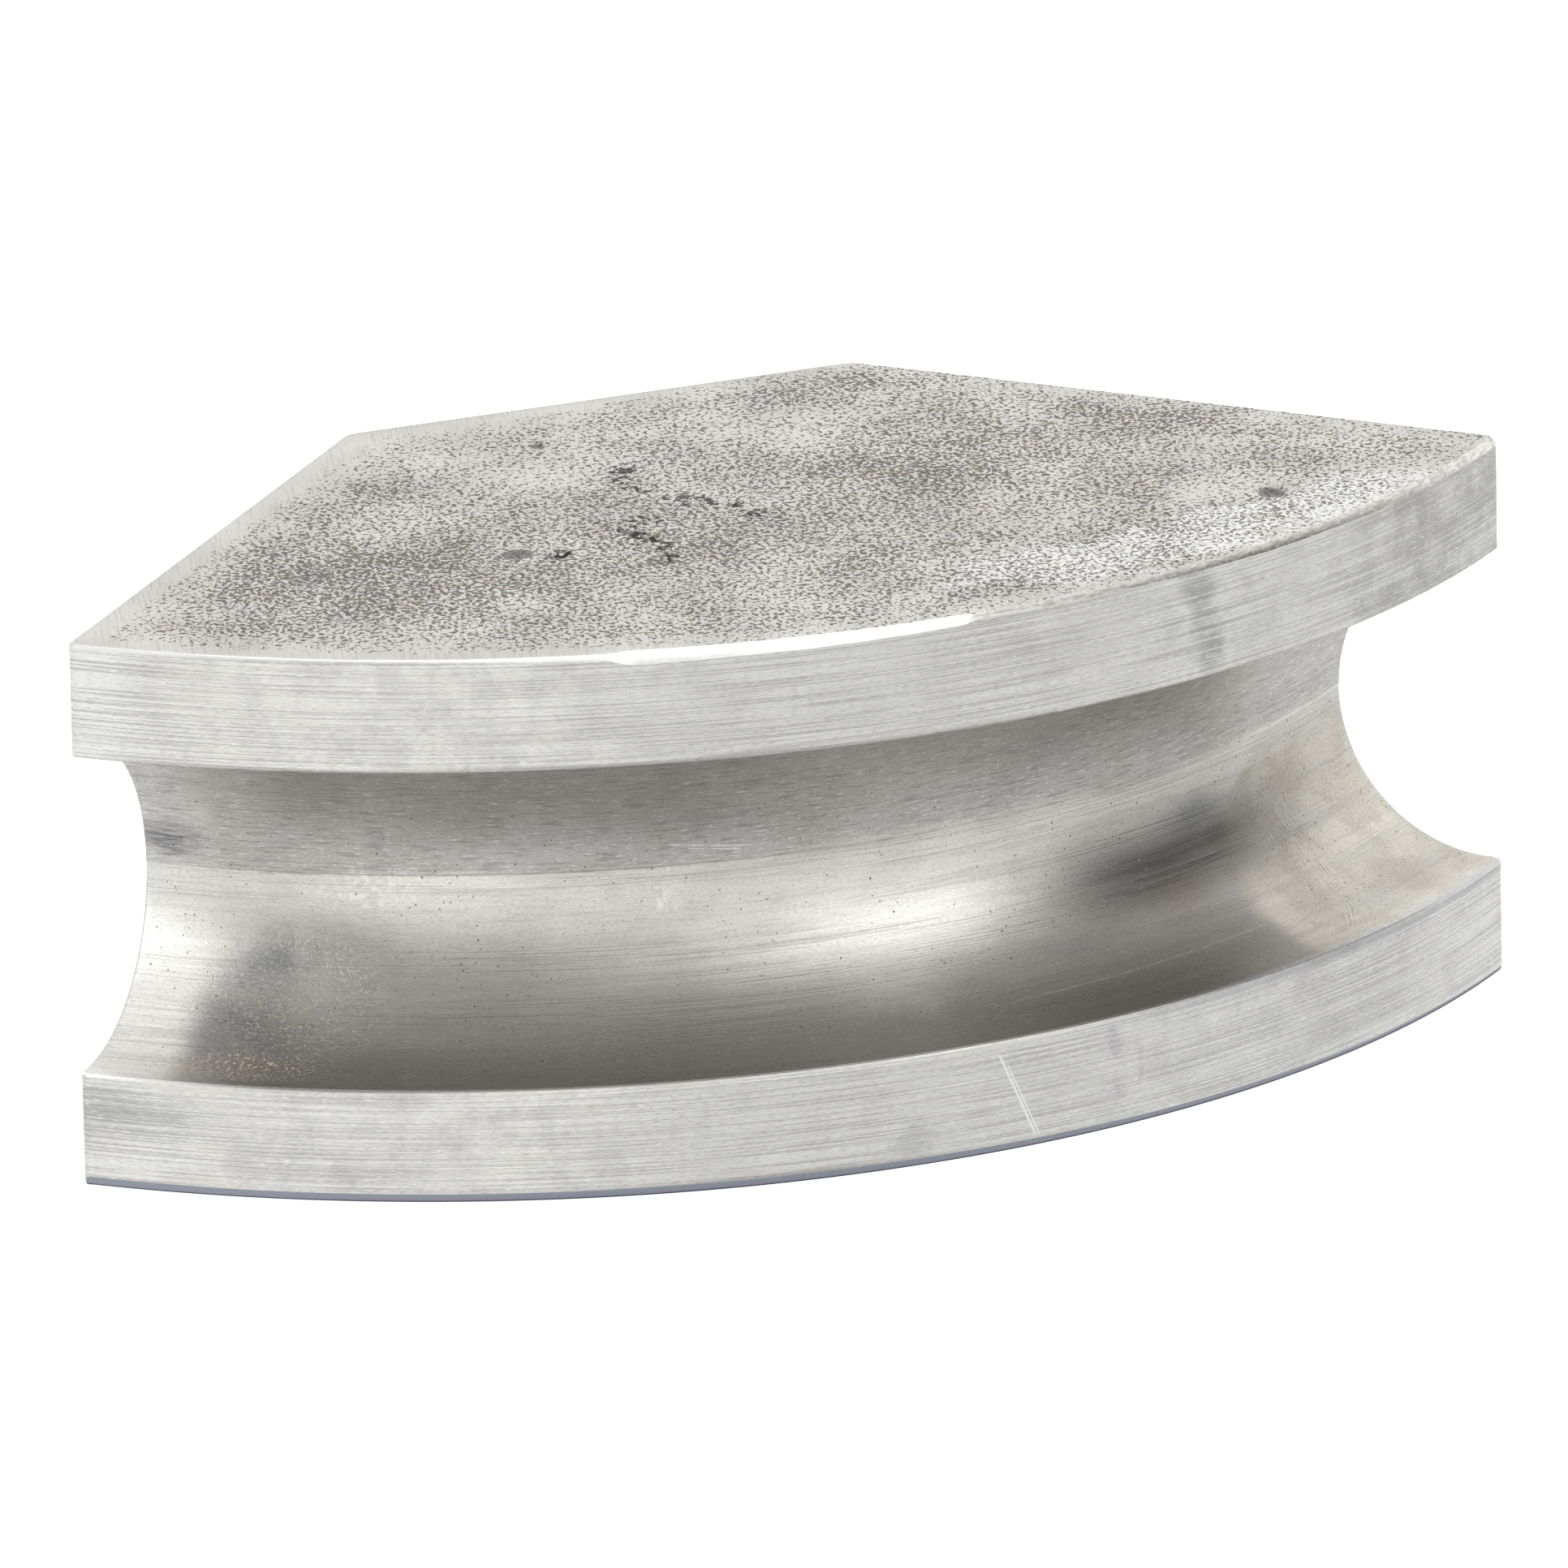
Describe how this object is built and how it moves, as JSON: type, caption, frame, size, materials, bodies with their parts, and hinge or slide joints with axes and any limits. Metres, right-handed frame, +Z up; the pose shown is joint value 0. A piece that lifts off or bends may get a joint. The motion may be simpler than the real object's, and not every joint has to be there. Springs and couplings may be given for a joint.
{
  "type": "conduit bending shoe",
  "caption": "Cast aluminium bending shoe for a hydraulic conduit bender, with a curved half-round groove and a sprung detent in its ram socket.",
  "frame": {"origin": "middle of the underside, at the centre of the bounding box in plan", "axes": "+X along the chord of the curved front, +Y from the grooved front to the flat back, +Z up from the underside to the top face"},
  "size_m": [0.2804, 0.1492, 0.1034],
  "materials": {
    "cast_aluminium": "sand cast, skimmed and turned, worn",
    "turned_steel": "turned",
    "hardened_steel": "hardened and ground",
    "black_screw_steel": "black oxide",
    "spring_steel": "drawn wire"
  },
  "bodies": {
    "shoe": {"bending_shoe": "cast_aluminium", "ram_socket": "turned_steel", "thrust_pad": "hardened_steel", "socket_screws": "black_screw_steel", "detent_sleeve": "turned_steel", "detent_spring": "spring_steel", "detent_plug": "black_screw_steel"},
    "detent": {"detent_plunger": "hardened_steel"}
  },
  "joints": [
    {"name": "detent_slide", "type": "slide", "parent": "shoe", "child": "detent", "axis": [0, 0, -1], "range_m": [0, 0.003], "stiffness_N_per_m": 2500, "springref_m": -0.003, "deforming": ["detent_spring"]}
  ]
}
